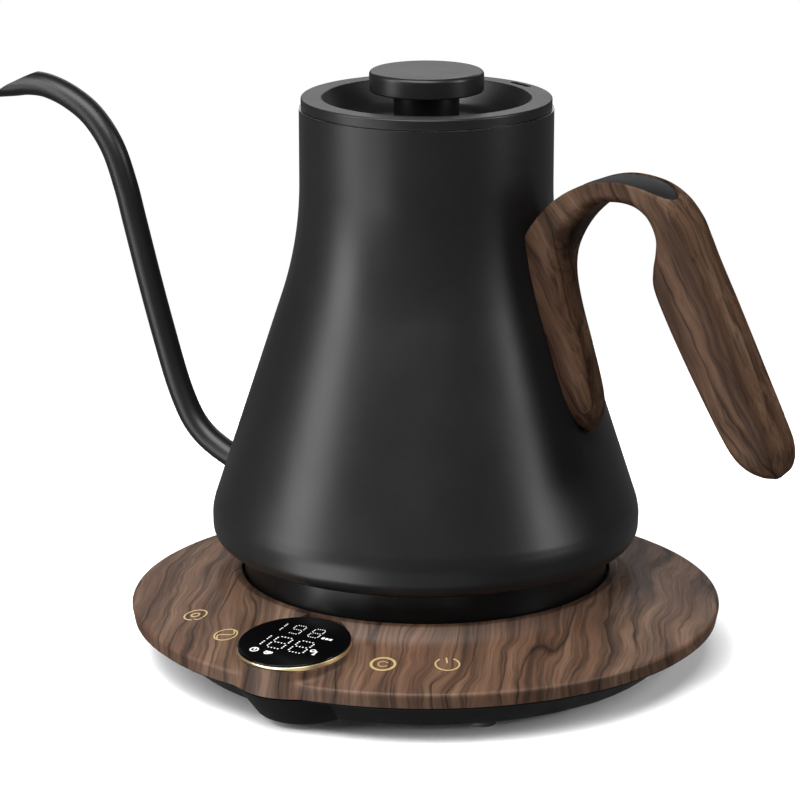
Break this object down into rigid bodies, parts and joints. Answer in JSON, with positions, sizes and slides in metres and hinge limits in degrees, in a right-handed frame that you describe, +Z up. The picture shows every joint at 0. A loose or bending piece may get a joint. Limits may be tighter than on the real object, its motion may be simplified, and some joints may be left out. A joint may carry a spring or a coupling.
{
  "type": "gooseneck kettle",
  "caption": "Electric gooseneck kettle with a conical body, a swan-neck spout, a wood-look handle and a round cordless base with a display dial.",
  "frame": {"origin": "centre of the overall box, on the surface that the feet stand on", "axes": "+Z up, the spout points to -X, the handle to +X, the display to -Y"},
  "size_m": [0.2934, 0.1952, 0.1907],
  "materials": {
    "walnut_look": "satin walnut-look coating with fine dark grain",
    "powder_coat": "matte black powder coat",
    "black_plastic": "matte black moulding",
    "base_gloss": "semi-gloss black moulding",
    "gold": "satin gold",
    "black_glass": "polished black glass",
    "black_rubber": "matte black",
    "silicone": "matte grey silicone",
    "steel": "plain stainless steel",
    "aluminium": "plain",
    "contact_brass": "plain",
    "circuit_board": "green solder mask",
    "relay_case": "dark grey",
    "capacitor_sleeve": "blue sleeve"
  },
  "bodies": {
    "base": {"base_top_shell": "walnut_look", "base_bottom_shell": "black_plastic", "display_glass": "black_glass", "display_carrier": "black_plastic", "display_board": "circuit_board", "touch_icon_timer": "gold", "touch_icon_preset": "gold", "touch_icon_hold": "gold", "touch_icon_power": "gold", "touch_spring_1": "steel", "touch_spring_2": "steel", "touch_spring_3": "steel", "touch_spring_4": "steel", "panel_board": "circuit_board", "control_board": "circuit_board", "relay": "relay_case", "smoothing_capacitor": "capacitor_sleeve", "buzzer": "black_plastic", "base_connector": "black_plastic", "connector_pin": "contact_brass", "connector_ring": "contact_brass", "foot_1": "black_rubber", "foot_2": "black_rubber", "foot_3": "black_rubber", "foot_4": "black_rubber", "base_screw_1": "steel", "base_screw_2": "steel", "base_screw_3": "steel", "base_screw_4": "steel", "cord_gland": "black_rubber"},
    "dial": {"display_ring": "gold"},
    "connector": {"kettle_connector": "black_plastic"},
    "kettle": {"kettle_body": "powder_coat", "bottom_cover": "base_gloss", "heating_plate": "aluminium", "heating_element": "steel", "temperature_probe": "contact_brass", "cover_screw_1": "steel", "cover_screw_2": "steel", "cover_screw_3": "steel", "spout_tube": "powder_coat", "handle": "walnut_look", "handle_bracket": "steel", "handle_screw_upper": "steel", "handle_screw_lower": "steel", "thumb_pad": "black_rubber"},
    "lid": {"lid_cap": "powder_coat", "lid_knob": "powder_coat", "lid_plug": "black_plastic", "lid_gasket": "silicone", "lid_inner_plate": "steel", "lid_screw": "steel"}
  },
  "joints": [
    {"name": "dial_turn", "type": "hinge", "parent": "base", "child": "dial", "pos_m": [0.02036, -0.079, 0.0261], "axis": [0, -0.1184, 0.993], "continuous": true},
    {"name": "kettle_lift", "type": "slide", "parent": "base", "child": "connector", "axis": [0, 0, 1], "range_m": [0, 0.1]},
    {"name": "kettle_swivel", "type": "hinge", "parent": "connector", "child": "kettle", "pos_m": [0.02036, 0, 0.035], "axis": [0, 0, 1], "continuous": true},
    {"name": "lid_lift", "type": "slide", "parent": "kettle", "child": "lid", "axis": [0, 0, 1], "range_m": [0, 0.06]}
  ]
}
